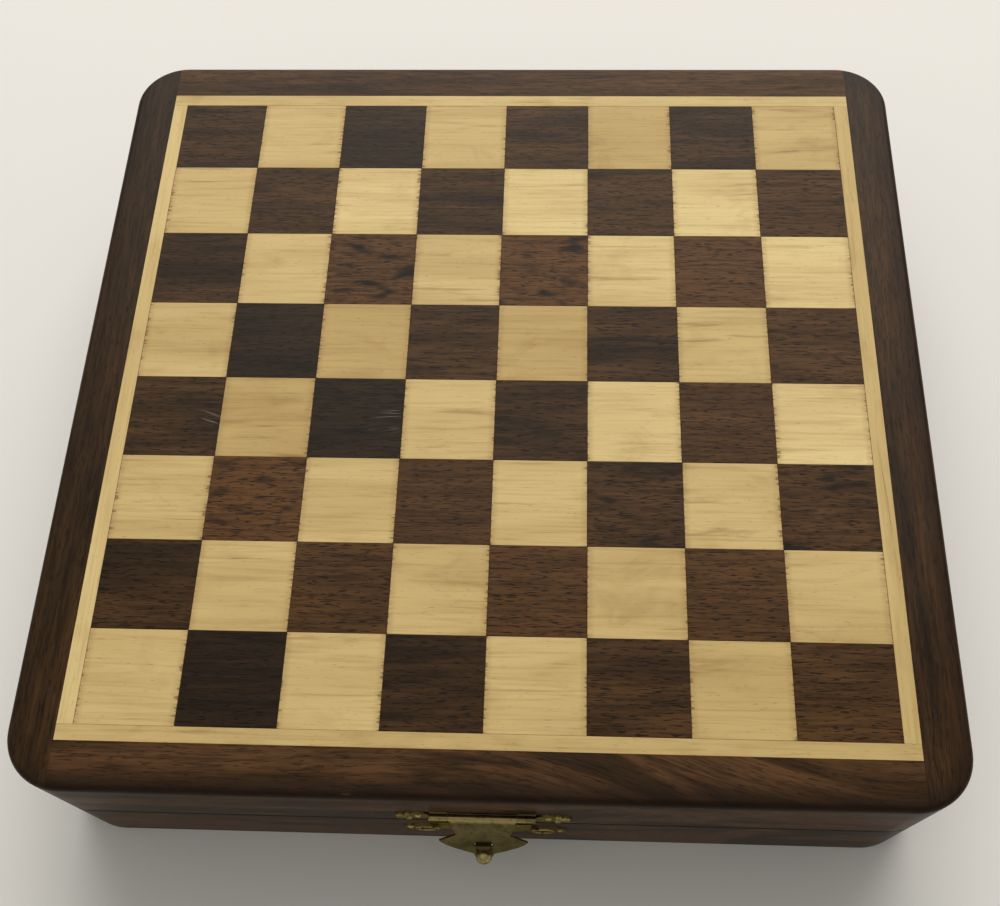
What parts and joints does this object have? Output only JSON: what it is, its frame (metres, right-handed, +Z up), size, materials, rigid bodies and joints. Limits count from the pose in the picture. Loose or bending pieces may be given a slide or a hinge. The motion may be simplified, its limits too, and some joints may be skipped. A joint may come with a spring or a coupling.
{
  "type": "chess set",
  "caption": "Flat hinged chess box whose inlaid lid is the board, with a brass hasp and turned men lying in a flocked tray.",
  "frame": {"origin": "centre of the flat underside of the base", "axes": "+X along the side with the hasp, +Y from the hasp to the hinges, +Z up out of the board"},
  "size_m": [0.2512, 0.2657, 0.054],
  "materials": {
    "dark_square_wood": "satin lacquer",
    "pale_inlay_wood": "satin lacquer",
    "frame_wood": "satin lacquer",
    "panel_wood": "sanded plywood",
    "bare_steel": "plain sheet",
    "lining_cloth": "short-pile felt",
    "flock": "flocked",
    "foot_felt": "pressed felt",
    "hinge_brass": "rolled sheet",
    "hasp_brass": "stamped sheet, aged",
    "pale_man_wood": "turned and waxed",
    "dark_man_wood": "turned and waxed"
  },
  "bodies": {
    "base": {"base_back_rail": "frame_wood", "base_front_rail": "frame_wood", "base_left_rail": "frame_wood", "base_right_rail": "frame_wood", "black_king": "dark_man_wood", "black_king_side_bishop": "dark_man_wood", "black_king_side_knight": "dark_man_wood", "black_king_side_rook": "dark_man_wood", "black_pawns": "dark_man_wood", "black_queen": "dark_man_wood", "black_queen_side_bishop": "dark_man_wood", "black_queen_side_knight": "dark_man_wood", "black_queen_side_rook": "dark_man_wood", "bottom_panel": "panel_wood", "flocked_tray": "flock", "foot_felts": "foot_felt", "foot_magnets": "bare_steel", "hasp_base_nails": "hasp_brass", "hasp_bottom_plate": "hasp_brass", "hinge_base_screws": "hinge_brass", "left_hinge_base_leaf": "hinge_brass", "left_hinge_pin": "hinge_brass", "right_hinge_base_leaf": "hinge_brass", "right_hinge_pin": "hinge_brass", "white_king": "pale_man_wood", "white_king_side_bishop": "pale_man_wood", "white_king_side_knight": "pale_man_wood", "white_king_side_rook": "pale_man_wood", "white_pawns": "pale_man_wood", "white_queen": "pale_man_wood", "white_queen_side_bishop": "pale_man_wood", "white_queen_side_knight": "pale_man_wood", "white_queen_side_rook": "pale_man_wood"},
    "lid": {"back_stringing": "pale_inlay_wood", "board_core": "panel_wood", "dark_squares": "dark_square_wood", "front_stringing": "pale_inlay_wood", "hasp_lid_nails": "hasp_brass", "hasp_pin": "hasp_brass", "hasp_top_plate": "hasp_brass", "hinge_lid_screws": "hinge_brass", "left_hinge_lid_leaf": "hinge_brass", "left_stringing": "pale_inlay_wood", "lid_back_rail": "frame_wood", "lid_front_rail": "frame_wood", "lid_left_rail": "frame_wood", "lid_lining": "lining_cloth", "lid_right_rail": "frame_wood", "light_squares": "pale_inlay_wood", "right_hinge_lid_leaf": "hinge_brass", "right_stringing": "pale_inlay_wood", "steel_sheet": "bare_steel"},
    "hasp_flap": {"hasp_flap": "hasp_brass", "hasp_knob": "hasp_brass"}
  },
  "joints": [
    {"name": "lid_hinge", "type": "hinge", "parent": "base", "child": "lid", "pos_m": [0, 0.1275, 0.027], "axis": [-1, 0, 0], "range_deg": [0, 180]},
    {"name": "hasp_hinge", "type": "hinge", "parent": "lid", "child": "hasp_flap", "pos_m": [0, -0.1271, 0.0385], "axis": [-1, 0, 0], "range_deg": [-20, 120]}
  ]
}
